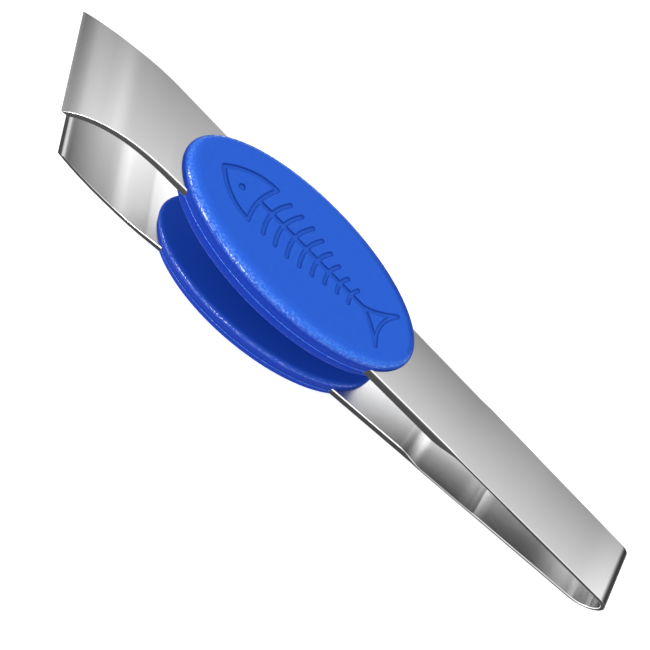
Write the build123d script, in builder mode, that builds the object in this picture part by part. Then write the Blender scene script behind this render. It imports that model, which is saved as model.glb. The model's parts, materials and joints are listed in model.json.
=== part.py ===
from build123d import *
from math import asin, atan2, cos, degrees, hypot, radians, sin, tan
import os

# Pin-bone tweezers: one stainless strip folded into a narrow U at the tail, with two stiff arms,
# slanted in-curving jaws, and a pair of oval moulded grips on each arm.
# Frame, millimetres: the origin is the centre of the whole tool's box. +X runs towards the folded
# tail, so the jaws point to -X. +Z is the side of the upper arm, and the two arms mirror in Z = 0.

# Whole tool
overall_length = 150.0      # jaw tip to the end of the folded tail
strip_centre_y = -0.21      # the grips sit this far off the strip's centreline
arm_angle = 4.5             # each arm's slope away from Z = 0, degrees

# Steel strip: thickness by zone
tail_thickness = 0.9        # round the fold and along the tail
flex_thickness = 0.7        # in the ground recess where the arms bend
arm_thickness = 2.6         # stiff arm under the grips
jaw_thickness = 0.8         # at the tip

# Steel strip: zones along an arm, measured from the end of the fold towards the jaw
recess_start = 26.2
recess_floor_start = 27.2
hinge_distance = 34.1
recess_floor_end = 41.1
arm_full_start = 45.7
grip_distance = 87.3

# Steel strip: half widths about its centreline
tail_half_width = 6.4
arm_half_width = 6.6
jaw_root_half_left = 7.35
jaw_root_half_right = 6.8
jaw_tip_half_left = 8.9
jaw_tip_half_right = 8.7

# Fold at the tail
fold_outer_radius = 4.5

# Jaw: an inward curve about an axis parallel to the slanted tip edge
slant_angle = 34.0          # tip edge against the strip's width direction, degrees
jaw_outer_radius = 23.7
jaw_sweep = 49.7            # from the arm's plane to the tip, degrees
jaw_overrun = 6.0           # extra sweep that the ground gripping land takes off, degrees
jaw_root_thickness = 1.9
taper_length = 12.0         # ground taper from the full arm to the root of the jaw
flare_length = 16.0         # how far from the tip each edge starts to widen
widest_arm_distance = 60.0  # from the tip to the place that has arm_half_width
closed_gap = 0.06           # between the two gripping lands when squeezed shut

# Oval grips
grip_length = 54.4
grip_width = 23.8
grip_rise = 2.6             # outer shell above the arm's outer face
grip_depth = 5.4            # inner shell below the arm's outer face
seam_depth = 1.7            # seam between the shells, below the arm's outer face
outer_edge_radius = 2.5
inner_edge_radius = 1.1
peg_radius = 2.0
peg_spacing = 28.0
peg_length = 4.1            # below the arm's outer face
socket_depth = 4.3

# Running clearance of the flexing joint
hinge_clearance = 0.05

cutter = 60.0               # half size of blocks that only cut
past_tip = 5.0              # how far the plan outline runs on before the land is ground

# ---- derived places ----
slope = radians(arm_angle)
slant = radians(slant_angle)
tail_end = overall_length / 2
tip_x = -overall_length / 2
fold_centre_x = tail_end - fold_outer_radius

along = Vector(-cos(slope), 0, sin(slope))      # towards the jaw
outward = Vector(sin(slope), 0, cos(slope))     # away from the other arm
fold_end = Vector(fold_centre_x, strip_centre_y, 0) + outward * fold_outer_radius

# profile plane of the upper arm: local x towards the jaw, local y outward from its outer face
side_plane = Plane(origin=fold_end, x_dir=along, z_dir=(0, 1, 0))
grip_centre = fold_end + along * grip_distance - Vector(0, strip_centre_y, 0)

# right-hand tip corner on the outer face, and the plane square to the jaw's bending axis
sweep = radians(jaw_sweep)
jaw_drop = jaw_outer_radius * (1 - cos(sweep))
jaw_reach = jaw_outer_radius * sin(sweep)
towards_tip = along * cos(slant) - Vector(0, sin(slant), 0)
tip_y = strip_centre_y + jaw_tip_half_right
tip_distance = (fold_end.X - tip_x - sin(slope) * jaw_drop) / cos(slope)
tip_corner = fold_end + along * tip_distance - outward * jaw_drop
tip_corner = Vector(tip_corner.X, tip_y, tip_corner.Z)
jaw_root = tip_corner + outward * jaw_drop - towards_tip * jaw_reach
jaw_plane = Plane(origin=jaw_root, x_dir=towards_tip, z_dir=towards_tip.cross(outward))

# flexing hinge line of the upper arm, and the angle that brings the tips together
hinge = fold_end + along * hinge_distance - outward * (flex_thickness / 2)
to_tip_x = hinge.X - tip_corner.X
to_tip_z = tip_corner.Z - hinge.Z
closing = atan2(to_tip_z, to_tip_x) + asin((hinge.Z - closed_gap / 2) / hypot(to_tip_x, to_tip_z))
land_plane = Plane(
    origin=tip_corner, x_dir=(-cos(closing), 0, sin(closing)), z_dir=(sin(closing), 0, cos(closing))
)
hinge_plane = Plane(origin=hinge, x_dir=along, z_dir=(0, 1, 0))


def strip_plan():
    """Plan view of the strip, as a face in Z = 0."""
    cy = strip_centre_y
    waist_x = tip_x + widest_arm_distance
    left_tip_x = tip_x + (jaw_tip_half_left + jaw_tip_half_right) * tan(slant)
    right_waist = Vector(waist_x, cy + arm_half_width)
    left_waist = Vector(waist_x, cy - arm_half_width)
    right_root = Vector(tip_x + flare_length, cy + jaw_root_half_right)
    left_root = Vector(left_tip_x + flare_length, cy - jaw_root_half_left)
    right_taper = right_root - right_waist
    left_taper = left_root - left_waist
    right_tip = Vector(tip_x, cy + jaw_tip_half_right)
    left_tip = Vector(left_tip_x, cy - jaw_tip_half_left)
    with BuildSketch(Plane.XY, mode=Mode.PRIVATE) as plan:
        with BuildLine():
            Polyline(
                right_root,
                right_waist,
                (tail_end, cy + tail_half_width),
                (tail_end, cy - tail_half_width),
                left_waist,
                left_root,
            )
            right_edge = TangentArc(right_root, right_tip, tangent=right_taper)
            left_edge = TangentArc(left_root, left_tip, tangent=left_taper)
            right_out = Line(right_tip, right_tip + (right_edge % 1) * past_tip)
            left_out = Line(left_tip, left_tip + (left_edge % 1) * past_tip * 3)
            Line(right_out @ 1, left_out @ 1)
        make_face()
    return plan.sketch


plan_face = strip_plan()

# ---- folded tail with the first part of each leaf ----
with BuildPart() as spring_bow:
    with BuildSketch(Plane(origin=(fold_centre_x, strip_centre_y, 0), x_dir=(1, 0, 0), z_dir=(0, -1, 0))):
        fold_inner_radius = fold_outer_radius - tail_thickness
        with BuildLine():
            outer_arc = CenterArc((0, 0), fold_outer_radius, -(90 - arm_angle), 180 - 2 * arm_angle)
            inner_arc = CenterArc((0, 0), fold_inner_radius, -(90 - arm_angle), 180 - 2 * arm_angle)
            Line(outer_arc @ 0, inner_arc @ 0)
            Line(outer_arc @ 1, inner_arc @ 1)
        make_face()
    extrude(amount=cutter, both=True)
    with BuildSketch(side_plane):
        with BuildLine():
            Polyline(
                (0, 0),
                (hinge_distance, 0),
                (hinge_distance, -flex_thickness),
                (recess_floor_start, -flex_thickness),
                (recess_start, -tail_thickness),
                (0, -tail_thickness),
                close=True,
            )
        make_face()
    upper_leaf = extrude(amount=cutter, both=True)
    with BuildSketch(hinge_plane):
        Circle(flex_thickness / 2 + hinge_clearance)
    upper_socket = extrude(amount=cutter, both=True, mode=Mode.SUBTRACT)
    mirror(upper_leaf, about=Plane.XY)
    mirror(upper_socket, about=Plane.XY, mode=Mode.SUBTRACT)
    add(extrude(plan_face, amount=cutter, both=True, mode=Mode.PRIVATE), mode=Mode.INTERSECT)

# ---- front half of the upper arm: ground taper, in-curving jaw and its gripping land ----
overrun_sweep = sweep + radians(jaw_overrun)
taper_rise = (arm_thickness - jaw_root_thickness) / taper_length
outer_end = Vector(jaw_outer_radius * sin(overrun_sweep), -jaw_outer_radius * (1 - cos(overrun_sweep)))
inner_end = outer_end - Vector(sin(overrun_sweep), cos(overrun_sweep)) * jaw_thickness
taper_end = (0, -jaw_root_thickness)

with BuildPart() as jaw_blank:
    with BuildSketch(jaw_plane):
        with BuildLine():
            Polyline(
                (0, 0),
                (-cutter * 2, 0),
                (-cutter * 2, -arm_thickness),
                (-taper_length, -arm_thickness),
                taper_end,
            )
            TangentArc(taper_end, inner_end, tangent=(1, taper_rise))
            Line(inner_end, outer_end)
            CenterArc((0, -jaw_outer_radius), jaw_outer_radius, 90, -degrees(overrun_sweep))
        make_face()
    extrude(amount=cutter, both=True)
    split(bisect_by=Plane(grip_centre, z_dir=along), keep=Keep.TOP)
    split(bisect_by=land_plane, keep=Keep.TOP)

# ---- upper arm before its peg holes are drilled: leaf end, ramp, stiff arm and jaw ----
with BuildPart() as arm_blank:
    with BuildSketch(side_plane):
        with BuildLine():
            Polyline(
                (hinge_distance, 0),
                (grip_distance, 0),
                (grip_distance, -arm_thickness),
                (arm_full_start, -arm_thickness),
                (recess_floor_end, -flex_thickness),
                (hinge_distance, -flex_thickness),
                close=True,
            )
        make_face()
        with Locations((hinge_distance, -flex_thickness / 2)):
            Circle(flex_thickness / 2)
    extrude(amount=cutter, both=True)
    add(jaw_blank.part)
    add(extrude(plan_face, amount=cutter, both=True, mode=Mode.PRIVATE), mode=Mode.INTERSECT)

grip_plane = Plane(origin=grip_centre, x_dir=along, z_dir=outward)


def peg_places():
    """Centres of the two pegs, along the grip's long axis."""
    return GridLocations(peg_spacing, 0, 2, 1)


with BuildPart() as upper_arm:
    add(arm_blank.part)
    with BuildSketch(grip_plane):
        with peg_places():
            Circle(peg_radius)
    extrude(amount=cutter / 4, both=True, mode=Mode.SUBTRACT)

with BuildPart() as lower_arm:
    mirror(upper_arm.part, about=Plane.XY)

# ---- outer grip shell: domed-edge oval with two pegs that pass through the arm ----
with BuildPart() as upper_grip_outer:
    with BuildSketch(grip_plane.offset(-seam_depth)):
        Ellipse(grip_length / 2, grip_width / 2)
    extrude(amount=grip_rise + seam_depth)
    top_rim = upper_grip_outer.edges().group_by(lambda edge: grip_plane.to_local_coords(edge.center()).Z)[-1]
    fillet(top_rim, outer_edge_radius)
    add(arm_blank.part, mode=Mode.SUBTRACT)
    with BuildSketch(grip_plane.offset(-peg_length)):
        with peg_places():
            Circle(peg_radius)
    extrude(amount=peg_length)

# ---- inner grip shell: closes over the arm's inner face and takes the pegs ----
with BuildPart() as upper_grip_inner:
    with BuildSketch(grip_plane.offset(-grip_depth)):
        Ellipse(grip_length / 2, grip_width / 2)
    extrude(amount=grip_depth - seam_depth)
    low_rim = upper_grip_inner.edges().group_by(lambda edge: grip_plane.to_local_coords(edge.center()).Z)[0]
    fillet(low_rim, inner_edge_radius)
    add(arm_blank.part, mode=Mode.SUBTRACT)
    with BuildSketch(grip_plane.offset(-socket_depth)):
        with peg_places():
            Circle(peg_radius)
    extrude(amount=socket_depth, mode=Mode.SUBTRACT)

with BuildPart() as lower_grip_outer:
    mirror(upper_grip_outer.part, about=Plane.XY)

with BuildPart() as lower_grip_inner:
    mirror(upper_grip_inner.part, about=Plane.XY)

# ---- write each sub-part ----
spring_bow.part.label = "spring_bow"
upper_arm.part.label = "upper_arm"
lower_arm.part.label = "lower_arm"
upper_grip_outer.part.label = "upper_grip_outer"
upper_grip_inner.part.label = "upper_grip_inner"
lower_grip_outer.part.label = "lower_grip_outer"
lower_grip_inner.part.label = "lower_grip_inner"

os.makedirs("parts", exist_ok=True)
export_step(spring_bow.part, "parts/spring_bow.step")
export_step(upper_arm.part, "parts/upper_arm.step")
export_step(lower_arm.part, "parts/lower_arm.step")
export_step(upper_grip_outer.part, "parts/upper_grip_outer.step")
export_step(upper_grip_inner.part, "parts/upper_grip_inner.step")
export_step(lower_grip_outer.part, "parts/lower_grip_outer.step")
export_step(lower_grip_inner.part, "parts/lower_grip_inner.step")

print(f"hinge at X {hinge.X:.3f}, Z {hinge.Z:.3f}; closing angle {degrees(closing):.3f} degrees")
print(f"outer tip corner at X {tip_corner.X:.3f}, Y {tip_corner.Y:.3f}, Z {tip_corner.Z:.3f}")
print(f"grip centre at X {grip_centre.X:.3f}, Z {grip_centre.Z:.3f}")
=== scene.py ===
import json
from math import atan2, cos, hypot, pi, radians, sin, sqrt, tan

import bmesh
import bpy
from mathutils import Matrix, Vector


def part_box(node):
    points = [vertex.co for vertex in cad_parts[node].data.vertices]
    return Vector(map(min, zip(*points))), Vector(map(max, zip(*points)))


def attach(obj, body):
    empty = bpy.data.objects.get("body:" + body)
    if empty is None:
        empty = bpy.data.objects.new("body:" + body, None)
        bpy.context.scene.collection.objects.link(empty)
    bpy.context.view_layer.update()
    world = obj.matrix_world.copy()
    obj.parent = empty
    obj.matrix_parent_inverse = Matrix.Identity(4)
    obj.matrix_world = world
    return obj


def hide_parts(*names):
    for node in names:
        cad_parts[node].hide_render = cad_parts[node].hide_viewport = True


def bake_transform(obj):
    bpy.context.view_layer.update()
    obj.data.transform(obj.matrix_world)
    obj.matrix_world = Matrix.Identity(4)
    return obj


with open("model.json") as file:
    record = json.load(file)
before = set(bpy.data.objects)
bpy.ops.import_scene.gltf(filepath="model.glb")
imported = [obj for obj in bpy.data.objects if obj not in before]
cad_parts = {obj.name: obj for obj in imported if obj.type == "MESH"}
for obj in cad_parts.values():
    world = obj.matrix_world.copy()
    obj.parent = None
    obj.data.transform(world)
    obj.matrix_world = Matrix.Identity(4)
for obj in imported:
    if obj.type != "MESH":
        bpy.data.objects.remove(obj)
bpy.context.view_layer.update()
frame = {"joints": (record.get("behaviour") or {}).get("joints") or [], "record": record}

# ---- Folded tail ----
# The middle of one long strip of stainless steel, bent cold round a mandrel into a narrow U. It keeps the
# sheet's full thickness and its satin finish, and holds the two leaves apart.
MM = 0.001
arm_slope = radians(4.5)
slant = radians(34)
fold_radius = 4.5 * MM
tail_thickness = 0.9 * MM
arm_thickness = 2.6 * MM
seam_place = 21.0 * MM

tail_box_low, tail_box_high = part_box("spring_bow")
arm_box_low, arm_box_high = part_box("upper_arm")
strip_middle = (tail_box_low.y + tail_box_high.y) / 2
tail_end = tail_box_high.x
tip_end = arm_box_low.x

# half widths of the strip: at the tail, at the waist, and on each side of the jaw's root and tip
tail_half = 6.4 * MM
waist_half = 6.6 * MM
waist_x = -15 * MM
near_root_half, near_tip_half, near_root_slope = 7.35 * MM, 8.9 * MM, 0.0233
far_root_half, far_tip_half, far_root_slope = 6.8 * MM, 8.7 * MM, 0.0045
flare_length = 16 * MM

sideways = Vector((0, 1, 0))
along = Vector((-cos(arm_slope), 0, sin(arm_slope)))
outward = Vector((sin(arm_slope), 0, cos(arm_slope)))
fold_centre = Vector((tail_end - fold_radius, strip_middle, 0))
fold_end = fold_centre + outward * fold_radius

# roundings of the tumbled edges, wide on the outer face and finer on the inner face
arm_outer_round = 0.4 * MM
fold_outer_round = 0.224 * MM
fold_inner_round = 0.15 * MM
# steps round each rounding and across each face, and the gap to the loop that keeps a rounding crisp
edge_steps = 5
across_steps = 10
support = 0.03 * MM

# painted light and shade: the steel's colour at the outer face's near and far edges, then the inner face's,
# by place in mm from the fold's end
painted_light_table = [
    (0, 0.54, 0.32, 1.00, 0.80),
    (3, 0.52, 0.30, 0.90, 0.75),
    (6, 0.46, 0.26, 0.50, 0.46),
    (8, 0.44, 0.25, 0.44, 0.44),
    (21, 0.44, 0.25, 0.40, 0.48),
    (24, 0.44, 0.26, 0.42, 0.60),
    (26, 0.44, 0.26, 0.95, 1.00),
    (26.4, 0.44, 0.26, 0.22, 0.60),
    (36, 0.44, 0.24, 0.20, 0.70),
    (41, 0.44, 0.22, 0.20, 0.80),
    (43, 0.44, 0.21, 0.34, 0.98),
    (45.4, 0.44, 0.21, 0.14, 0.70),
    (47.5, 0.44, 0.21, 0.34, 0.90),
    (50, 0.44, 0.21, 0.38, 0.86),
    (60, 0.44, 0.20, 0.58, 1.00),
    (108, 0.42, 0.26, 0.65, 0.98),
    (118, 0.43, 0.25, 0.50, 0.72),
    (126, 0.45, 0.25, 0.42, 0.60),
]
# the same four levels of painted light and shade, by the share of each half of the fold, down to its middle
fold_painted_light_table = [
    (0, 0.52, 0.30, 1.0, 0.8),
    (0.04, 0.40, 0.25, 1.0, 0.8),
    (0.12, 0.18, 0.13, 0.8, 0.7),
    (0.2, 0.06, 0.05, 0.5, 0.6),
]
# the rounded edges are brightened towards this level: a painted highlight along them
edge_painted_highlight = 0.95


def half_width(x, root_half, tip_half, tip_x, root_slope):
    """Half of the strip's width at x on one side: a long taper to the arm, then a flare at the jaw."""
    root_x = tip_x + flare_length
    if x > waist_x:
        return waist_half + (tail_half - waist_half) * (x - waist_x) / (tail_end - waist_x)
    if x > root_x:
        return waist_half + (root_half - waist_half) * (waist_x - x) / (waist_x - root_x)
    run = root_x - x
    bow = (tip_half - root_half - root_slope * flare_length) / flare_length**2
    return root_half + root_slope * run + bow * run**2


def near_edge(x):
    """The strip's edge towards -Y, whose tip corner is the shorter one."""
    short_tip_x = tip_end + (near_tip_half + far_tip_half) * tan(slant)
    return strip_middle - half_width(x, near_root_half, near_tip_half, short_tip_x, near_root_slope)


def far_edge(x):
    """The strip's edge towards +Y, whose tip corner is the longer one."""
    return strip_middle + half_width(x, far_root_half, far_tip_half, tip_end, far_root_slope)


def reach_edge(base, direction, edge):
    """Where a line across the strip meets one of its edges."""
    point = base.copy()
    for _ in range(12):
        point = point + direction * ((edge(point.x) - point.y) / direction.y)
    return point


def section(corners, outer_round, inner_round):
    """Points round one cross-section. corners are outer near, outer far, inner near and inner far."""
    outer_near, outer_far, inner_near, inner_far = corners
    width = (outer_far - outer_near).length
    depth = ((inner_near - outer_near).length + (inner_far - outer_far).length) / 2
    outline = []
    turn = [step / edge_steps * pi / 2 for step in range(edge_steps + 1)]
    outline += [(outer_round * (1 - sin(t)), outer_round * (1 - cos(t))) for t in turn[::-1]]
    flat_low = outer_round + support
    flat = width - 2 * flat_low
    outline += [(flat_low + flat * step / across_steps, 0) for step in range(across_steps + 1)]
    outline += [(width - outer_round * (1 - sin(t)), outer_round * (1 - cos(t))) for t in turn]
    outline += [(width, outer_round + support), (width, depth - inner_round - support)]
    outline += [(width - inner_round * (1 - cos(t)), depth - inner_round * (1 - sin(t))) for t in turn]
    flat_low = inner_round + support
    flat = width - 2 * flat_low
    outline += [(width - flat_low - flat * step / across_steps, depth) for step in range(across_steps + 1)]
    outline += [(inner_round * (1 - sin(t)), depth - inner_round * (1 - cos(t))) for t in turn]
    outline += [(0, depth - inner_round - support), (0, outer_round + support)]
    points = []
    for a, b in outline:
        share = a / width
        down = b / depth
        outer = outer_near.lerp(outer_far, share)
        inner = inner_near.lerp(inner_far, share)
        points.append(outer.lerp(inner, down))
    return points


def ring_marks():
    """Each point of a cross-section: how far across it is, then 1 on a side, the inner face or an edge."""
    rise = [step / edge_steps for step in range(edge_steps + 1)]
    flat = [step / across_steps for step in range(across_steps + 1)]
    marks = [(0, 1 - r, 0, r not in (0, 1)) for r in rise]
    marks += [(f, 0, 0, 0) for f in flat]
    marks += [(1, r, 0, r not in (0, 1)) for r in rise]
    marks += [(1, 1, 0, 0), (1, 1, 1, 0)]
    marks += [(1, r == 0, 1, r not in (0, 1)) for r in rise]
    marks += [(1 - f, 0, 1, 0) for f in flat]
    marks += [(0, r == 1, 1, r not in (0, 1)) for r in rise]
    return marks + [(0, 1, 1, 0), (0, 1, 0, 0)]


def skin(name, sections, tones, flip):
    """A closed mesh through the sections. tones gives four levels of painted light and shade at each, for
    its four edges.
    """
    mesh = bpy.data.meshes.new(name)
    count = len(sections[0])
    points = [tuple(p) for ring in sections for p in ring]
    faces = []
    for row in range(len(sections) - 1):
        for i in range(count):
            j = (i + 1) % count
            faces.append((row * count + i, row * count + j, (row + 1) * count + j, (row + 1) * count + i))
    last = (len(sections) - 1) * count
    faces.append(tuple(range(count))[::-1])
    faces.append(tuple(range(last, last + count)))
    if flip:
        points = [(x, y, -z) for x, y, z in points]
    mesh.from_pydata(points, [], faces)
    bm = bmesh.new()
    bm.from_mesh(mesh)
    bmesh.ops.recalc_face_normals(bm, faces=bm.faces)
    bm.faces.ensure_lookup_table()
    for face in bm.faces:
        face.smooth = True
    for cap in bm.faces[-2:]:
        cap.smooth = False
        for edge in cap.edges:
            edge.smooth = False
    bm.to_mesh(mesh)
    bm.free()
    marks = ring_marks()
    painted_light = []
    for outer_near, outer_far, inner_near, inner_far in tones:
        for across, _, inner, edge in marks:
            low, high = (inner_near, inner_far) if inner else (outer_near, outer_far)
            face = low + (high - low) * across
            # rounded edges take a painted highlight, brighter than the face beside them
            painted_light.append(max(face, edge_painted_highlight * min(1.0, 3 * face)) if edge else face)
    mesh.attributes.new("painted_light", "FLOAT", "POINT").data.foreach_set("value", painted_light)
    sides = [float(m[1]) for m in marks] * len(sections)
    mesh.attributes.new("side", "FLOAT", "POINT").data.foreach_set("value", sides)
    piece = bpy.data.objects.new(name, mesh)
    bpy.context.collection.objects.link(piece)
    return piece


def level(place, table):
    """Values at a place, from a table of places and values, straight between its rows."""
    if place <= table[0][0]:
        return table[0][1:]
    for low, high in zip(table, table[1:]):
        if place <= high[0]:
            share = (place - low[0]) / (high[0] - low[0])
            return tuple(a + (b - a) * share for a, b in zip(low[1:], high[1:]))
    return table[-1][1:]


def straight_section(place, depth, lean=0.0):
    """A cross-section of the straight part of an arm. lean turns it towards the slant of the jaw."""
    base = fold_end + along * place
    direction = sideways + along * tan(slant) * lean
    direction.normalize()
    outer = [reach_edge(base, direction, edge) for edge in (near_edge, far_edge)]
    inner = [reach_edge(base - outward * depth, direction, edge) for edge in (near_edge, far_edge)]
    edge_room = min(1.0, depth / arm_thickness + 0.35)
    inner_round = 0.1 * MM + 0.055 * depth
    thin_share = min(1.0, depth / (1.1 * MM))
    return section(outer + inner, arm_outer_round * edge_room * thin_share, inner_round)


def tail_sections():
    """Cross-sections from the upper leaf's seam, round the fold, to the lower leaf's seam."""
    upper = []
    tones = []
    steps = 10
    for step in range(steps):
        place = seam_place * (1 - step / steps)
        upper.append(straight_section(place, tail_thickness))
        tones.append(level(place / MM, painted_light_table))
    turns = 28
    bend = []
    for step in range(turns + 1):
        angle = (pi / 2 - arm_slope) * (1 - step / turns)
        ray = Vector((cos(angle), 0, sin(angle)))
        corners = []
        for radius in (fold_radius, fold_radius - tail_thickness):
            base = fold_centre + ray * radius
            corners += [reach_edge(base, sideways, edge) for edge in (near_edge, far_edge)]
        bend.append(section(corners, fold_outer_round, fold_inner_round))
        tones.append(level(step / turns, fold_painted_light_table))
    half = upper + bend
    mirrored = [[Vector((p.x, p.y, -p.z)) for p in ring] for ring in half[-2::-1]]
    return half + mirrored, tones + tones[-2::-1]


def grain_group():
    """Fine surface texture: streaks or specks, by how the pattern is stretched."""
    group = bpy.data.node_groups.new("fine_grain", "ShaderNodeTree")
    face = group.interface
    face.new_socket("Stretch", in_out="INPUT", socket_type="NodeSocketVector")
    face.new_socket("Depth", in_out="INPUT", socket_type="NodeSocketFloat")
    face.new_socket("Roughness", in_out="INPUT", socket_type="NodeSocketFloat")
    face.new_socket("Mask", in_out="OUTPUT", socket_type="NodeSocketFloat")
    face.new_socket("Normal", in_out="OUTPUT", socket_type="NodeSocketVector")
    nodes, links = group.nodes, group.links
    given = nodes.new("NodeGroupInput")
    made = nodes.new("NodeGroupOutput")
    place = nodes.new("ShaderNodeTexCoord")
    scaled = nodes.new("ShaderNodeVectorMath")
    scaled.operation = "MULTIPLY"
    links.new(place.outputs["Object"], scaled.inputs[0])
    links.new(given.outputs["Stretch"], scaled.inputs[1])
    noise = nodes.new("ShaderNodeTexNoise")
    noise.inputs["Scale"].default_value = 1.0
    noise.inputs["Detail"].default_value = 3.0
    links.new(scaled.outputs[0], noise.inputs["Vector"])
    links.new(given.outputs["Roughness"], noise.inputs["Roughness"])
    bump = nodes.new("ShaderNodeBump")
    bump.inputs["Strength"].default_value = 1.0
    links.new(given.outputs["Depth"], bump.inputs["Distance"])
    links.new(noise.outputs["Fac"], bump.inputs["Height"])
    links.new(noise.outputs["Fac"], made.inputs["Mask"])
    links.new(bump.outputs["Normal"], made.inputs["Normal"])
    return group


fine_grain = grain_group()


def satin_steel():
    """Bright steel, belt-ground along its length: fine streaks, and sides left duller than the faces. Its
    colour is painted light and shade, with painted shade on the sides.
    """
    side_painted_shade = 0.065
    side_roughness = 0.5
    face_roughness = (0.16, 0.26)
    material = bpy.data.materials.new("satin_steel")
    material.use_nodes = True
    nodes, links = material.node_tree.nodes, material.node_tree.links
    shader = nodes["Principled BSDF"]
    shader.inputs["Metallic"].default_value = 1.0
    shader.inputs["Specular Tint"].default_value = (0.4, 0.4, 0.4, 1)

    def marked(title):
        node = nodes.new("ShaderNodeAttribute")
        node.attribute_name = title
        return node.outputs["Fac"]

    def blend(share, low, high):
        node = nodes.new("ShaderNodeMix")
        for title, value in (("Factor", share), ("A", low), ("B", high)):
            if isinstance(value, float):
                node.inputs[title].default_value = value
            else:
                links.new(value, node.inputs[title])
        return node.outputs["Result"]

    def step(value, low, high):
        node = nodes.new("ShaderNodeMapRange")
        node.interpolation_type = "SMOOTHSTEP"
        node.inputs["From Min"].default_value = low
        node.inputs["From Max"].default_value = high
        links.new(value, node.inputs["Value"])
        return node.outputs["Result"]

    side = step(marked("side"), 0.3, 0.6)
    # the colour is the painted light and shade stored on the points, with painted shade on the sides
    links.new(blend(side, marked("painted_light"), side_painted_shade), shader.inputs["Base Color"])
    grain = nodes.new("ShaderNodeGroup")
    grain.node_tree = fine_grain
    grain.inputs["Stretch"].default_value = (300, 9000, 9000)
    grain.inputs["Depth"].default_value = 0.0000006
    grain.inputs["Roughness"].default_value = 0.6
    links.new(grain.outputs["Normal"], shader.inputs["Normal"])
    streaked_face = blend(grain.outputs["Mask"], *face_roughness)
    links.new(blend(side, streaked_face, side_roughness), shader.inputs["Roughness"])
    return material


strip_finish = satin_steel()
bow_rings, bow_tones = tail_sections()
steel_tail = skin("steel_tail", bow_rings, bow_tones, False)
steel_tail.data.materials.append(strip_finish)
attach(steel_tail, "tail_spring")
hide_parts("spring_bow")

# ---- Leaves, arms and jaws ----
# The two sides of the same steel strip. Each is ground thin on its inner face to make a leaf, with a crease
# where the wheel started, then ramps up to a stiff arm. The jaw thins again, curves inwards about a
# slanted line and ends in a flat ground land.
leaf_thickness = 0.7 * MM
jaw_root_thickness = 1.9 * MM
jaw_tip_thickness = 0.8 * MM
jaw_radius = 23.7 * MM
jaw_sweep = radians(49.7)
jaw_overrun = radians(6)
taper_length = 12 * MM

# places along an arm, measured from the end of the fold towards the jaw
crease_place = 26.2 * MM
leaf_start = 27.2 * MM
leaf_end = 41.1 * MM
ramp_end = 45.7 * MM
lean_start = 66 * MM
lean_end = 98 * MM
fine_reach = 1.2 * MM
ramp_reach = 1.6 * MM

jaw_drop = jaw_radius * (1 - cos(jaw_sweep))
jaw_reach = jaw_radius * sin(jaw_sweep)
tip_distance = (fold_end.x - tip_end - sin(arm_slope) * jaw_drop) / cos(arm_slope)
tip_corner = fold_end + along * tip_distance - outward * jaw_drop
tip_corner.y = arm_box_high.y
towards_tip = along * cos(slant) - sideways * sin(slant)
tip_line = along * sin(slant) + sideways * cos(slant)
jaw_root = tip_corner + outward * jaw_drop - towards_tip * jaw_reach
jaw_root_place = (jaw_root - fold_end).dot(along) + (strip_middle - jaw_root.y) * tan(slant)
closing = radians(frame["joints"][0]["range_deg"][1])
land_normal = Vector((sin(closing), 0, cos(closing)))

# the arm's thickness: place, thickness there, and how far the corner is eased
inner_depths = [
    (crease_place, tail_thickness, 0.2 * MM),
    (leaf_start, leaf_thickness, 0.6 * MM),
    (leaf_end, leaf_thickness, 1.4 * MM),
    (ramp_end, arm_thickness, 1.4 * MM),
    (80 * MM, arm_thickness, 1.0 * MM),
]
# painted light and shade as above, by the share of the way from the jaw's root to the gripping land
jaw_painted_light_table = [
    (0, 0.45, 0.25, 0.40, 0.60),
    (0.15, 0.45, 0.25, 0.42, 0.66),
    (0.27, 0.45, 0.26, 0.46, 0.72),
    (0.33, 0.45, 0.26, 0.36, 0.58),
    (0.4, 0.47, 0.27, 0.27, 0.45),
    (0.6, 0.44, 0.25, 0.26, 0.44),
    (0.78, 0.52, 0.33, 0.22, 0.40),
    (0.88, 0.50, 0.32, 0.20, 0.36),
    (0.97, 0.46, 0.28, 0.16, 0.32),
    (1, 0.45, 0.45, 0.55, 0.55),
]


def eased(value, places):
    """A line of straight stretches between places, each with a height and how far its corner is eased."""
    slopes = [(b[1] - a[1]) / (b[0] - a[0]) for a, b in zip(places, places[1:])]
    height = places[0][1]
    for (start, _, ease), before, after in zip(places, [0] + slopes, slopes + [0]):
        bend = after - before
        over = value - start
        if over > ease:
            height += bend * over
        elif over > -ease:
            height += bend * (over + ease) ** 2 / (4 * ease)
    return height


def outer_jaw(angle):
    """A point of the jaw's outer face, where it crosses the slanted line through the root."""
    return jaw_root + towards_tip * (jaw_radius * sin(angle)) - outward * (jaw_radius * (1 - cos(angle)))


taper_rise = (arm_thickness - jaw_root_thickness) / taper_length
inner_start = Vector((0, -jaw_root_thickness))
full_sweep = jaw_sweep + jaw_overrun
inner_end = Vector((sin(full_sweep), cos(full_sweep))) * (jaw_radius - jaw_tip_thickness)
inner_end.y -= jaw_radius
inner_normal = Vector((taper_rise, -1)).normalized()
inner_chord = inner_end - inner_start
inner_radius = inner_chord.length_squared / (2 * inner_chord.dot(inner_normal))
inner_centre = inner_start + inner_normal * inner_radius


def inner_jaw(angle):
    """A point of the jaw's inner face: an arc that leaves the taper smoothly and thins towards the tip."""
    spoke = -inner_normal
    x = spoke.x * cos(angle) + spoke.y * sin(angle)
    y = spoke.y * cos(angle) - spoke.x * sin(angle)
    place = inner_centre + Vector((x, y)) * inner_radius
    return jaw_root + towards_tip * place.x + outward * place.y


def land_angle(curve, edge):
    """The angle at which a jaw surface meets the gripping land, along one edge of the strip."""
    low, high = 0.0, full_sweep + 0.2
    for _ in range(40):
        middle = (low + high) / 2
        over = (reach_edge(curve(middle), tip_line, edge) - tip_corner).dot(land_normal)
        low, high = (middle, high) if over > 0 else (low, middle)
    return low


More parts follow.
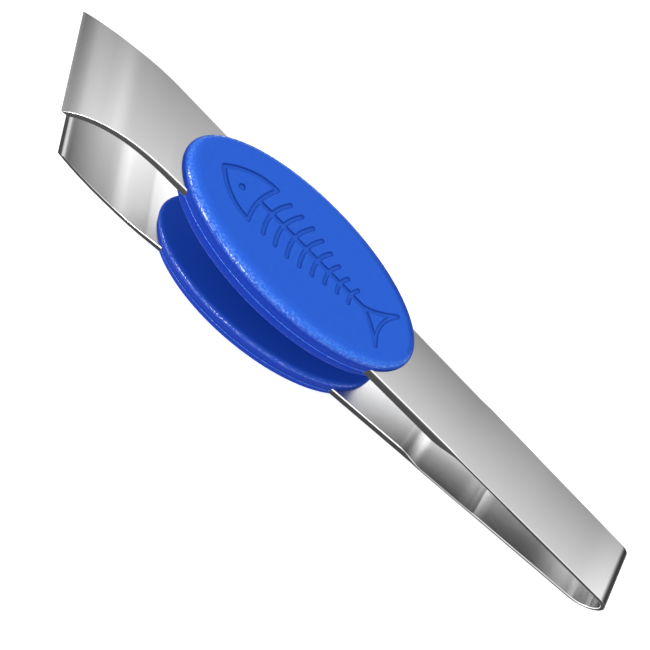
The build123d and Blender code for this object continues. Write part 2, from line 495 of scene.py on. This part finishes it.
def arm_sections():
    """Cross-sections of the upper side from its seam with the tail to the gripping land."""
    rings = []
    tones = []
    stretches = [
        (seam_place, crease_place - fine_reach, 3),
        (crease_place - fine_reach, leaf_start + fine_reach, 30),
        (leaf_start + fine_reach, leaf_end - ramp_reach, 24),
        (leaf_end - ramp_reach, ramp_end + ramp_reach, 36),
        (ramp_end + ramp_reach, lean_start, 8),
    ]
    for start, end, steps in stretches:
        for step in range(steps):
            place = start + (end - start) * step / steps
            rings.append(straight_section(place, eased(place, inner_depths)))
            tones.append(level(place / MM, painted_light_table))
    steps = 16
    for step in range(steps):
        share = step / steps
        place = lean_start + (lean_end - lean_start) * share
        rings.append(straight_section(place, arm_thickness, share))
        tones.append(level(place / MM, painted_light_table))
    taper = [(-taper_length, 0, 0.5 * MM), (0.5 * MM, taper_length * taper_rise, 0.3 * MM)]
    steps = 26
    for step in range(steps):
        place = lean_end + (jaw_root_place - lean_end) * step / steps
        past = (place - jaw_root_place) * cos(slant)
        thinning = eased(past, taper)
        rings.append(straight_section(place, arm_thickness - thinning, 1.0))
        tones.append(level(place / MM, painted_light_table))
    sides = [(curve, edge) for curve in (outer_jaw, inner_jaw) for edge in (near_edge, far_edge)]
    limits = [(curve, edge, land_angle(curve, edge)) for curve, edge in sides]
    steps = 40
    for step in range(steps + 1):
        share = step / steps
        corners = [reach_edge(curve(limit * share), tip_line, edge) for curve, edge, limit in limits]
        outer_round = (0.4 - 0.32 * share) * MM
        inner_round = (0.2 - 0.14 * share) * MM
        rings.append(section(corners, outer_round, inner_round))
        tones.append(level(share, jaw_painted_light_table))
    return rings, tones


arm_rings, arm_tones = arm_sections()
for name, side in (("upper", 1), ("lower", -1)):
    steel = skin(f"steel_{name}", arm_rings, arm_tones, side < 0)
    steel.data.materials.append(strip_finish)
    bend_start = fold_end + along * leaf_start
    bend_end = fold_end + along * leaf_end
    bend_start.z *= side
    bend_end.z *= side
    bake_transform(steel)
    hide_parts(f"{name}_arm")

# ---- Outer grip shells ----
# The half of each oval grip that faces the fingers, moulded in blue plastic with a fine matt grain. Its rim
# is well rounded and shinier, with a speckled painted highlight along it, and a fine bead runs round it
# where it meets the inner half. A fish skeleton is engraved in its face, and the whole grip is pegged
# through the arm.
grip_half_long = 27.2 * MM
grip_half_wide = 11.9 * MM
grip_distance = 87.3 * MM
grip_rise = 2.6 * MM
seam_depth = 1.7 * MM
outer_rim = 2.5 * MM
bead = 0.1 * MM
bead_steps = 6
lip = 0.1 * MM

# rows of the shell's wall, counted from its face, and how glossy they are, with a painted highlight where
# glossy, and how dark they are with painted shade
bright_row, bright_reach = 6.5, 3.5
shade_row, shade_reach = 6, 4
bead_rows = range(15, 20)
face_gloss_and_highlight = 0.03
bead_gloss_and_highlight = 0.7
# a duller stretch of the rim, darkened with painted shade, towards the tail on the side of the jaw's longer
# corner
dull_shade_middle, dull_shade_reach, dull_shade_rows = radians(-140), radians(40), 5

grip_centre = fold_end + along * grip_distance
grip_centre.y = 0
grip_place = Matrix.Translation(grip_centre) @ Matrix((along, -sideways, outward)).transposed().to_4x4()


def oval(turn, inset):
    """A point on the grip's outline, moved inwards by inset."""
    x, y = grip_half_long * cos(turn), grip_half_wide * sin(turn)
    nx, ny = cos(turn) / grip_half_long, sin(turn) / grip_half_wide
    size = hypot(nx, ny)
    return x - nx / size * inset, y - ny / size * inset


def shell(name, profile, long_cells, wide_cells, face_shade):
    """A closed oval shell: a flat face in even cells, walls down the profile, and a flat back."""
    bm = bmesh.new()
    shade = bm.verts.layers.float.new("shade")
    gloss_and_highlight = bm.verts.layers.float.new("gloss_and_highlight")
    inset, height = profile[0]
    grid = []
    for i in range(long_cells + 1):
        column = []
        for j in range(wide_cells + 1):
            u, v = 2 * i / long_cells - 1, 2 * j / wide_cells - 1
            p, q = u * sqrt(1 - v * v / 2), v * sqrt(1 - u * u / 2)
            out = min(1.0, hypot(p, q))
            x, y = oval(atan2(q, p), inset)
            column.append(bm.verts.new((x * out, y * out, height)))
        grid.append(column)
    for i in range(long_cells):
        for j in range(wide_cells):
            bm.faces.new((grid[i][j], grid[i + 1][j], grid[i + 1][j + 1], grid[i][j + 1]))
    border = [(i, 0) for i in range(long_cells)]
    border += [(long_cells, j) for j in range(wide_cells)]
    border += [(i, wide_cells) for i in range(long_cells, 0, -1)]
    border += [(0, j) for j in range(wide_cells, 0, -1)]
    turns = []
    for i, j in border:
        u, v = 2 * i / long_cells - 1, 2 * j / wide_cells - 1
        turns.append(atan2(v * sqrt(1 - u * u / 2), u * sqrt(1 - v * v / 2)))
    ring = [grid[i][j] for i, j in border]
    for vert in bm.verts:
        vert[shade] = face_shade
        vert[gloss_and_highlight] = face_gloss_and_highlight
    for row, (inset, height) in enumerate(profile[1:]):
        below = [bm.verts.new((*oval(turn, inset), height)) for turn in turns]
        for vert, turn in zip(below, turns):
            # the rim's dull stretch loses gloss and takes painted shade
            dull_and_shade = min(1.0, max(0.0, 1.4 - abs(turn - dull_shade_middle) / dull_shade_reach)) * min(1.0, row / dull_shade_rows)
            # walls below shade_row are darkened with painted shade
            wall = min(1.0, max(0.0, (row - shade_row) / shade_reach))
            bright = max(face_gloss_and_highlight, 1 - abs(row - bright_row) / bright_reach)
            # the bead is left unshaded and glossy, so its painted highlight shows as a light line
            vert[shade] = 0.0 if row in bead_rows else max(face_shade, dull_and_shade, wall)
            vert[gloss_and_highlight] = (bead_gloss_and_highlight if row in bead_rows else bright) * (1 - 0.9 * dull_and_shade)
        for k in range(len(ring)):
            m = (k + 1) % len(ring)
            bm.faces.new((ring[k], below[k], below[m], ring[m]))
        ring = below
    bm.faces.new(ring[::-1])
    bmesh.ops.recalc_face_normals(bm, faces=bm.faces)
    mesh = bpy.data.meshes.new(name)
    bm.to_mesh(mesh)
    bm.free()
    mesh.shade_smooth()
    mesh.polygons[len(mesh.polygons) - 1].use_smooth = False
    return mesh


def rounded(radius, face_height, direction, steps):
    """Profile points from the flat face round its rim: pairs of inset and height."""
    quarter = [step / steps * pi / 2 for step in range(steps + 1)]
    return [(radius * (1 - sin(t)), face_height - direction * radius * (1 - cos(t))) for t in quarter]


def blue_plastic():
    """Matt blue with a speckled coat and a speckled painted highlight where it is marked glossy, and painted
    shade down the walls and in the grooves.
    """
    body_tones = ((0.018, 0.087, 0.49, 1), (0.019, 0.092, 0.51, 1))
    painted_highlight_tone = (0.018, 0.15, 0.60, 1)
    wall_painted_shade = (0.003, 0.024, 0.24, 1)
    groove_painted_shade = (0.001, 0.020, 0.16, 1)
    material = bpy.data.materials.new("blue_plastic")
    material.use_nodes = True
    nodes, links = material.node_tree.nodes, material.node_tree.links
    shader = nodes["Principled BSDF"]
    shader.inputs["Roughness"].default_value = 0.6
    shader.inputs["Specular IOR Level"].default_value = 0.02
    shader.inputs["Coat Roughness"].default_value = 0.17
    shader.inputs["Coat IOR"].default_value = 1.8
    grain = nodes.new("ShaderNodeGroup")
    grain.node_tree = fine_grain
    grain.inputs["Stretch"].default_value = (2500, 2500, 2500)
    grain.inputs["Depth"].default_value = 0.000006
    grain.inputs["Roughness"].default_value = 0.6
    links.new(grain.outputs["Normal"], shader.inputs["Normal"])
    tone = nodes.new("ShaderNodeMix")
    tone.data_type = "RGBA"
    tone.inputs["A"].default_value, tone.inputs["B"].default_value = body_tones
    links.new(grain.outputs["Mask"], tone.inputs["Factor"])
    speckle = nodes.new("ShaderNodeMapRange")
    speckle.inputs["From Min"].default_value = 0.46
    speckle.inputs["From Max"].default_value = 0.56
    speckle.inputs["To Min"].default_value = 0.1
    speckle.inputs["To Max"].default_value = 1.0
    links.new(grain.outputs["Mask"], speckle.inputs["Value"])
    glossy = nodes.new("ShaderNodeAttribute")
    glossy.attribute_name = "gloss_and_highlight"
    coat_and_highlight = nodes.new("ShaderNodeMath")
    coat_and_highlight.operation = "MULTIPLY"
    links.new(glossy.outputs["Fac"], coat_and_highlight.inputs[0])
    links.new(speckle.outputs["Result"], coat_and_highlight.inputs[1])
    links.new(coat_and_highlight.outputs[0], shader.inputs["Coat Weight"])
    # painted highlight: where glossy, the colour is lightened in specks
    painted_highlight = nodes.new("ShaderNodeMix")
    painted_highlight.data_type = "RGBA"
    links.new(coat_and_highlight.outputs[0], painted_highlight.inputs["Factor"])
    links.new(tone.outputs["Result"], painted_highlight.inputs["A"])
    painted_highlight.inputs["B"].default_value = painted_highlight_tone
    colour = painted_highlight.outputs["Result"]
    # painted shade: the shade mark darkens walls, inner faces and the rim's dull stretch, and the slope mark
    # darkens the grooves' sides
    for title, dark in (("shade", wall_painted_shade), ("slope", groove_painted_shade)):
        mark = nodes.new("ShaderNodeAttribute")
        mark.attribute_name = title
        mixed = nodes.new("ShaderNodeMix")
        mixed.data_type = "RGBA"
        links.new(mark.outputs["Fac"], mixed.inputs["Factor"])
        links.new(colour, mixed.inputs["A"])
        mixed.inputs["B"].default_value = dark
        colour = mixed.outputs["Result"]
    links.new(colour, shader.inputs["Base Color"])
    return material


def engraving_tree():
    """Node tree that sinks a fish skeleton into the flat top of a shell that lies in its own frame."""
    tree = bpy.data.node_groups.new("fish_engraving", "GeometryNodeTree")
    face = tree.interface
    face.new_socket("Geometry", in_out="INPUT", socket_type="NodeSocketGeometry")
    face.new_socket("Rib count", in_out="INPUT", socket_type="NodeSocketInt")
    for title in (
        "Rib length",
        "Shortest rib",
        "Spine start",
        "Spine end",
        "Groove width",
        "Edge ease",
        "Depth",
        "Face height",
    ):
        face.new_socket(title, in_out="INPUT", socket_type="NodeSocketFloat")
    face.new_socket("Geometry", in_out="OUTPUT", socket_type="NodeSocketGeometry")
    nodes, links = tree.nodes, tree.links
    given = nodes.new("NodeGroupInput")
    made = nodes.new("NodeGroupOutput")

    def put(socket, value):
        if isinstance(value, bpy.types.NodeSocket):
            links.new(value, socket)
        else:
            socket.default_value = value

    def math(kind, a, b=0.0):
        node = nodes.new("ShaderNodeMath")
        node.operation = kind
        put(node.inputs[0], a)
        put(node.inputs[1], b)
        return node.outputs[0]

    def times_rib(share):
        return math("MULTIPLY", rib, share)

    def point(x, y):
        node = nodes.new("ShaderNodeCombineXYZ")
        put(node.inputs["X"], x)
        put(node.inputs["Y"], y)
        put(node.inputs["Z"], given.outputs["Face height"])
        return node.outputs[0]

    def bow(start, middle, end):
        node = nodes.new("GeometryNodeCurveQuadraticBezier")
        node.inputs["Resolution"].default_value = 24
        for title, place in (("Start", start), ("Middle", middle), ("End", end)):
            put(node.inputs[title], place)
        return node.outputs["Curve"]

    # the spine runs from its tail end to the head, and all else is placed by the longest rib
    rib = given.outputs["Rib length"]
    tail_x, head_x = given.outputs["Spine start"], given.outputs["Spine end"]
    nose = math("ADD", head_x, times_rib(2.1))
    gill = math("SUBTRACT", head_x, times_rib(0.2))
    fin = math("SUBTRACT", tail_x, times_rib(1.6))
    spine = nodes.new("GeometryNodeCurvePrimitiveLine")
    put(spine.inputs["Start"], point(tail_x, 0.0))
    put(spine.inputs["End"], point(head_x, 0.0))
    rib_line = nodes.new("GeometryNodeCurvePrimitiveLine")
    put(rib_line.inputs["Start"], point(math("ADD", tail_x, times_rib(0.7)), 0.0))
    put(rib_line.inputs["End"], point(math("SUBTRACT", head_x, times_rib(0.75)), 0.0))
    places = nodes.new("GeometryNodeResampleCurve")
    links.new(rib_line.outputs["Curve"], places.inputs["Curve"])
    links.new(given.outputs["Rib count"], places.inputs["Count"])
    flat_rib = nodes.new("GeometryNodeCurveQuadraticBezier")
    flat_rib.inputs["Resolution"].default_value = 24
    flat_rib.inputs["Start"].default_value = (-0.3, -1, 0)
    flat_rib.inputs["Middle"].default_value = (0.3, 0, 0)
    flat_rib.inputs["End"].default_value = (-0.3, 1, 0)
    share = nodes.new("GeometryNodeSplineParameter").outputs["Factor"]
    swell = nodes.new("ShaderNodeMapRange")
    swell.interpolation_type = "SMOOTHSTEP"
    put(swell.inputs["Value"], share)
    put(swell.inputs["From Max"], 0.8)
    put(swell.inputs["To Min"], given.outputs["Shortest rib"])
    put(swell.inputs["To Max"], rib)
    ribs = nodes.new("GeometryNodeInstanceOnPoints")
    links.new(places.outputs["Curve"], ribs.inputs["Points"])
    links.new(flat_rib.outputs["Curve"], ribs.inputs["Instance"])
    links.new(swell.outputs["Result"], ribs.inputs["Scale"])
    eye = nodes.new("GeometryNodeCurvePrimitiveCircle")
    put(eye.inputs["Radius"], math("MULTIPLY", given.outputs["Groove width"], 0.2))
    eye_place = nodes.new("GeometryNodeTransform")
    links.new(eye.outputs["Curve"], eye_place.inputs["Geometry"])
    put(eye_place.inputs["Translation"], point(math("ADD", head_x, times_rib(0.95)), times_rib(0.12)))
    lines = nodes.new("GeometryNodeJoinGeometry")
    curves = [spine.outputs["Curve"], ribs.outputs["Instances"], eye_place.outputs["Geometry"]]
    for side in (-1.0, 1.0):
        cheek = point(gill, times_rib(1.05 * side))
        brow = point(math("ADD", gill, times_rib(1.35)), times_rib(side))
        curves.append(bow(cheek, brow, point(nose, 0.0)))
        fin_root = point(math("SUBTRACT", tail_x, times_rib(0.6)), times_rib(0.1 * side))
        curves.append(bow(point(tail_x, 0.0), fin_root, point(fin, times_rib(0.95 * side))))
    for base, half_span, dip in ((gill, 1.05, 0.45), (fin, 0.95, 0.75)):
        inner = point(math("ADD", base, times_rib(dip)), 0.0)
        curves.append(bow(point(base, times_rib(-half_span)), inner, point(base, times_rib(half_span))))
    for curve in curves[::-1]:
        links.new(curve, lines.inputs["Geometry"])
    real = nodes.new("GeometryNodeRealizeInstances")
    links.new(lines.outputs["Geometry"], real.inputs["Geometry"])
    wires = nodes.new("GeometryNodeCurveToMesh")
    links.new(real.outputs["Geometry"], wires.inputs["Curve"])
    near = nodes.new("GeometryNodeProximity")
    near.target_element = "EDGES"
    links.new(wires.outputs["Mesh"], near.inputs[0])
    here = nodes.new("GeometryNodeInputPosition")
    apart = nodes.new("ShaderNodeSeparateXYZ")
    links.new(here.outputs["Position"], apart.inputs[0])
    half = math("MULTIPLY", given.outputs["Groove width"], 0.5)
    groove = nodes.new("ShaderNodeMapRange")
    groove.interpolation_type = "SMOOTHSTEP"
    links.new(near.outputs["Distance"], groove.inputs["Value"])
    put(groove.inputs["From Min"], math("SUBTRACT", half, given.outputs["Edge ease"]))
    put(groove.inputs["From Max"], half)
    put(groove.inputs["To Min"], 1.0)
    put(groove.inputs["To Max"], 0.0)
    just_below = math("SUBTRACT", given.outputs["Face height"], 0.01 * MM)
    on_face = math("GREATER_THAN", apart.outputs["Z"], just_below)
    sunk = math("MULTIPLY", groove.outputs["Result"], on_face)
    # the grooves' sides are marked for painted shade
    mark = nodes.new("GeometryNodeStoreNamedAttribute")
    mark.data_type = "FLOAT"
    mark.domain = "POINT"
    mark.inputs["Name"].default_value = "slope"
    links.new(given.outputs["Geometry"], mark.inputs["Geometry"])
    steep = math("MULTIPLY", sunk, math("SUBTRACT", 1.0, sunk))
    links.new(math("MULTIPLY", steep, 3.0), mark.inputs["Value"])
    down = nodes.new("ShaderNodeCombineXYZ")
    links.new(math("MULTIPLY", math("MULTIPLY", sunk, given.outputs["Depth"]), -1.0), down.inputs["Z"])
    sink = nodes.new("GeometryNodeSetPosition")
    links.new(mark.outputs["Geometry"], sink.inputs["Geometry"])
    links.new(down.outputs[0], sink.inputs["Offset"])
    whole = nodes.new("GeometryNodeRealizeInstances")
    links.new(sink.outputs["Geometry"], whole.inputs["Geometry"])
    coloured = nodes.new("GeometryNodeSetMaterial")
    coloured.inputs["Material"].default_value = grip_finish
    links.new(whole.outputs["Geometry"], coloured.inputs["Geometry"])
    links.new(coloured.outputs["Geometry"], made.inputs["Geometry"])
    return tree


def engraved(mesh):
    """A copy of the outer shell with the fish skeleton sunk into its face, its sizes set by name."""
    blank = bpy.data.objects.new("blank_shell", mesh)
    bpy.context.collection.objects.link(blank)
    cutter = blank.modifiers.new("engraving", "NODES")
    cutter.node_group = engraving_tree()
    settings = {
        "Rib count": 8,
        "Rib length": 4.0 * MM,
        "Shortest rib": 1.6 * MM,
        "Spine start": -13.5 * MM,
        "Spine end": 12 * MM,
        "Groove width": 1.0 * MM,
        "Edge ease": 0.25 * MM,
        "Depth": 0.4 * MM,
        "Face height": grip_rise,
    }
    for item in cutter.node_group.interface.items_tree:
        if item.name in settings:
            cutter[item.identifier] = settings[item.name]
    bpy.context.view_layer.update()
    result = bpy.data.meshes.new_from_object(blank.evaluated_get(bpy.context.evaluated_depsgraph_get()))
    blank.modifiers.remove(cutter)
    bpy.data.objects.remove(blank)
    result.name = "engraved_shell"
    return result


def fit_grips(part, base):
    """A copy of a shell on each arm, the lower one mirrored, riding on its side of the tool."""
    for side_name, side in (("upper", 1), ("lower", -1)):
        mesh = base.copy()
        mesh.transform(grip_place)
        if side < 0:
            mesh.transform(Matrix.Diagonal((1, 1, side, 1)))
            mesh.flip_normals()
        grip = bpy.data.objects.new(f"{side_name}_{part}_shell", mesh)
        bpy.context.collection.objects.link(grip)
        mesh.materials.clear()
        mesh.materials.append(grip_finish)
        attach(grip, f"{side_name}_side")
        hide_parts(f"{side_name}_grip_{part}")


grip_finish = blue_plastic()
outer_profile = [(outer_rim + support, grip_rise)] + rounded(outer_rim, grip_rise, 1, 12)
outer_profile.append((0, -seam_depth + 3.2 * bead))
for step in range(bead_steps + 1):
    t = step / bead_steps * pi
    outer_profile.append((-bead * sin(t), -seam_depth + bead * (1.2 + 1.1 * cos(t))))
outer_profile.append((lip, -seam_depth))
outer_blank = shell("outer_shell", outer_profile, long_cells=360, wide_cells=180, face_shade=0.0)
fit_grips("outer", engraved(outer_blank))

# ---- Inner grip shells ----
# The half of each grip that faces the other arm, moulded in the same blue plastic. It is deeper than the
# outer half, its rim is less rounded, and it takes the outer half's pegs in blind sockets.
grip_depth = 5.4 * MM
inner_rim = 1.1 * MM
inner_profile = [(inner_rim + support, -grip_depth)] + rounded(inner_rim, -grip_depth, -1, 10)
inner_profile += [(0, -seam_depth - 0.14 * MM), (lip, -seam_depth - 0.02 * MM)]
# the inner shells' faces, between the grips, are darkened with painted shade through face_shade
fit_grips("inner", shell("inner_shell", inner_profile, long_cells=110, wide_cells=50, face_shade=0.75))

# ---- Stage ----
# A white table top that the lower grip's face rests on, in the soft light of a studio: bright overhead and
# dimmer towards the horizon. Soft boxes low on the near side pick out the rims of the grips.
floor_reach = 60.0
bpy.context.scene.view_settings.view_transform = "Standard"
rest_mount = [m for m in frame["record"]["mounts"] if m["name"] == "lower_grip_face"][0]
floor_mesh = bpy.data.meshes.new("floor")
floor_corners = [(-1, -1), (1, -1), (1, 1), (-1, 1)]
floor_mesh.from_pydata([(x * floor_reach, y * floor_reach, 0) for x, y in floor_corners], [], [(0, 1, 2, 3)])
up = -Vector(rest_mount["axis"])
floor_turn = up.to_track_quat("Z", "Y").to_matrix().to_4x4()
floor_mesh.transform(Matrix.Translation(Vector(rest_mount["pos_m"])) @ floor_turn)
floor = bpy.data.objects.new("floor", floor_mesh)
bpy.context.collection.objects.link(floor)
white = bpy.data.materials.new("white_floor")
white.use_nodes = True
surface = white.node_tree.nodes["Principled BSDF"]
surface.inputs["Base Color"].default_value = (0.9, 0.9, 0.9, 1)
surface.inputs["Roughness"].default_value = 0.8
surface.inputs["Emission Color"].default_value = (1, 1, 1, 1)
surface.inputs["Emission Strength"].default_value = 0.42
floor_mesh.materials.append(white)


def studio_world():
    """Light from above that falls off to a darker horizon, with soft boxes that the camera can't see."""
    world = bpy.data.worlds.new("studio")
    world.use_nodes = True
    nodes, links = world.node_tree.nodes, world.node_tree.links
    direction = nodes.new("ShaderNodeTexCoord").outputs["Generated"]
    apart = nodes.new("ShaderNodeSeparateXYZ")
    links.new(direction, apart.inputs[0])
    ramp = nodes.new("ShaderNodeValToRGB")
    links.new(apart.outputs["Z"], ramp.inputs["Fac"])
    # height of the direction and the sky's level there
    stops = [(0.0, 0.36), (0.12, 0.5), (0.35, 0.8), (0.58, 1.0), (1.0, 1.0)]
    while len(ramp.color_ramp.elements) < len(stops):
        ramp.color_ramp.elements.new(0.5)
    for element, (place, grey) in zip(ramp.color_ramp.elements, stops):
        element.position = place
        element.color = (grey, grey, grey, 1)
    total = ramp.outputs["Color"]
    # azimuth from +X and elevation, then full within and gone beyond, all in degrees, and the added level
    boxes = [
        (174, 29, 16.5, 18.5, 0.2),
        (168, 44, 2, 6, 0.3),
        (95, 50, 2, 7, 0.5),
        (28, 30, 6, 9, 0.5),
        (-148, 7, 3, 9, 14.0),
        (-124, 6, 3, 9, 17.0),
        (-100, 6, 3, 9, 13.0),
        (-76, 10, 3, 8, 3.0),
        (-42, 18, 25, 45, -0.3),
    ]
    for azimuth, elevation, full, gone, added_level in boxes:
        a, e = radians(azimuth), radians(elevation)
        axis = nodes.new("ShaderNodeVectorMath")
        axis.operation = "DOT_PRODUCT"
        links.new(direction, axis.inputs[0])
        axis.inputs[1].default_value = (cos(a) * cos(e), sin(a) * cos(e), sin(e))
        box = nodes.new("ShaderNodeMapRange")
        box.interpolation_type = "SMOOTHSTEP"
        box.inputs["From Min"].default_value = cos(radians(gone))
        box.inputs["From Max"].default_value = cos(radians(full))
        box.inputs["To Max"].default_value = added_level
        links.new(axis.outputs["Value"], box.inputs["Value"])
        added = nodes.new("ShaderNodeMath")
        links.new(total, added.inputs[0])
        links.new(box.outputs["Result"], added.inputs[1])
        total = added.outputs[0]
    dimmest = nodes.new("ShaderNodeMath")
    dimmest.operation = "MAXIMUM"
    links.new(total, dimmest.inputs[0])
    dimmest.inputs[1].default_value = 0.2
    backdrop = nodes.new("ShaderNodeMix")
    links.new(nodes.new("ShaderNodeLightPath").outputs["Is Camera Ray"], backdrop.inputs["Factor"])
    links.new(dimmest.outputs[0], backdrop.inputs["A"])
    backdrop.inputs["B"].default_value = 0.7
    links.new(backdrop.outputs["Result"], nodes["Background"].inputs["Color"])
    nodes["Background"].inputs["Strength"].default_value = 1.35
    return world


bpy.context.scene.world = studio_world()

camera_data = bpy.data.cameras.new("camera")
camera = bpy.data.objects.new("camera", camera_data)
bpy.context.collection.objects.link(camera)
camera_place = Vector((-0.016404, -0.063538, 0.113492))
view = Vector((0.09474, 0.48083, -0.87168)).normalized()
camera_up = Vector((-0.67682, 0.67323, 0.29780))
camera_right = view.cross(camera_up).normalized()
camera_up = camera_right.cross(view)
camera_turn = Matrix((camera_right, camera_up, -view)).transposed().to_4x4()
camera.matrix_world = Matrix.Translation(camera_place) @ camera_turn
camera_data.lens = 37.315
camera_data.sensor_width = 36
camera_data.clip_start = 0.005
bpy.context.scene.camera = camera
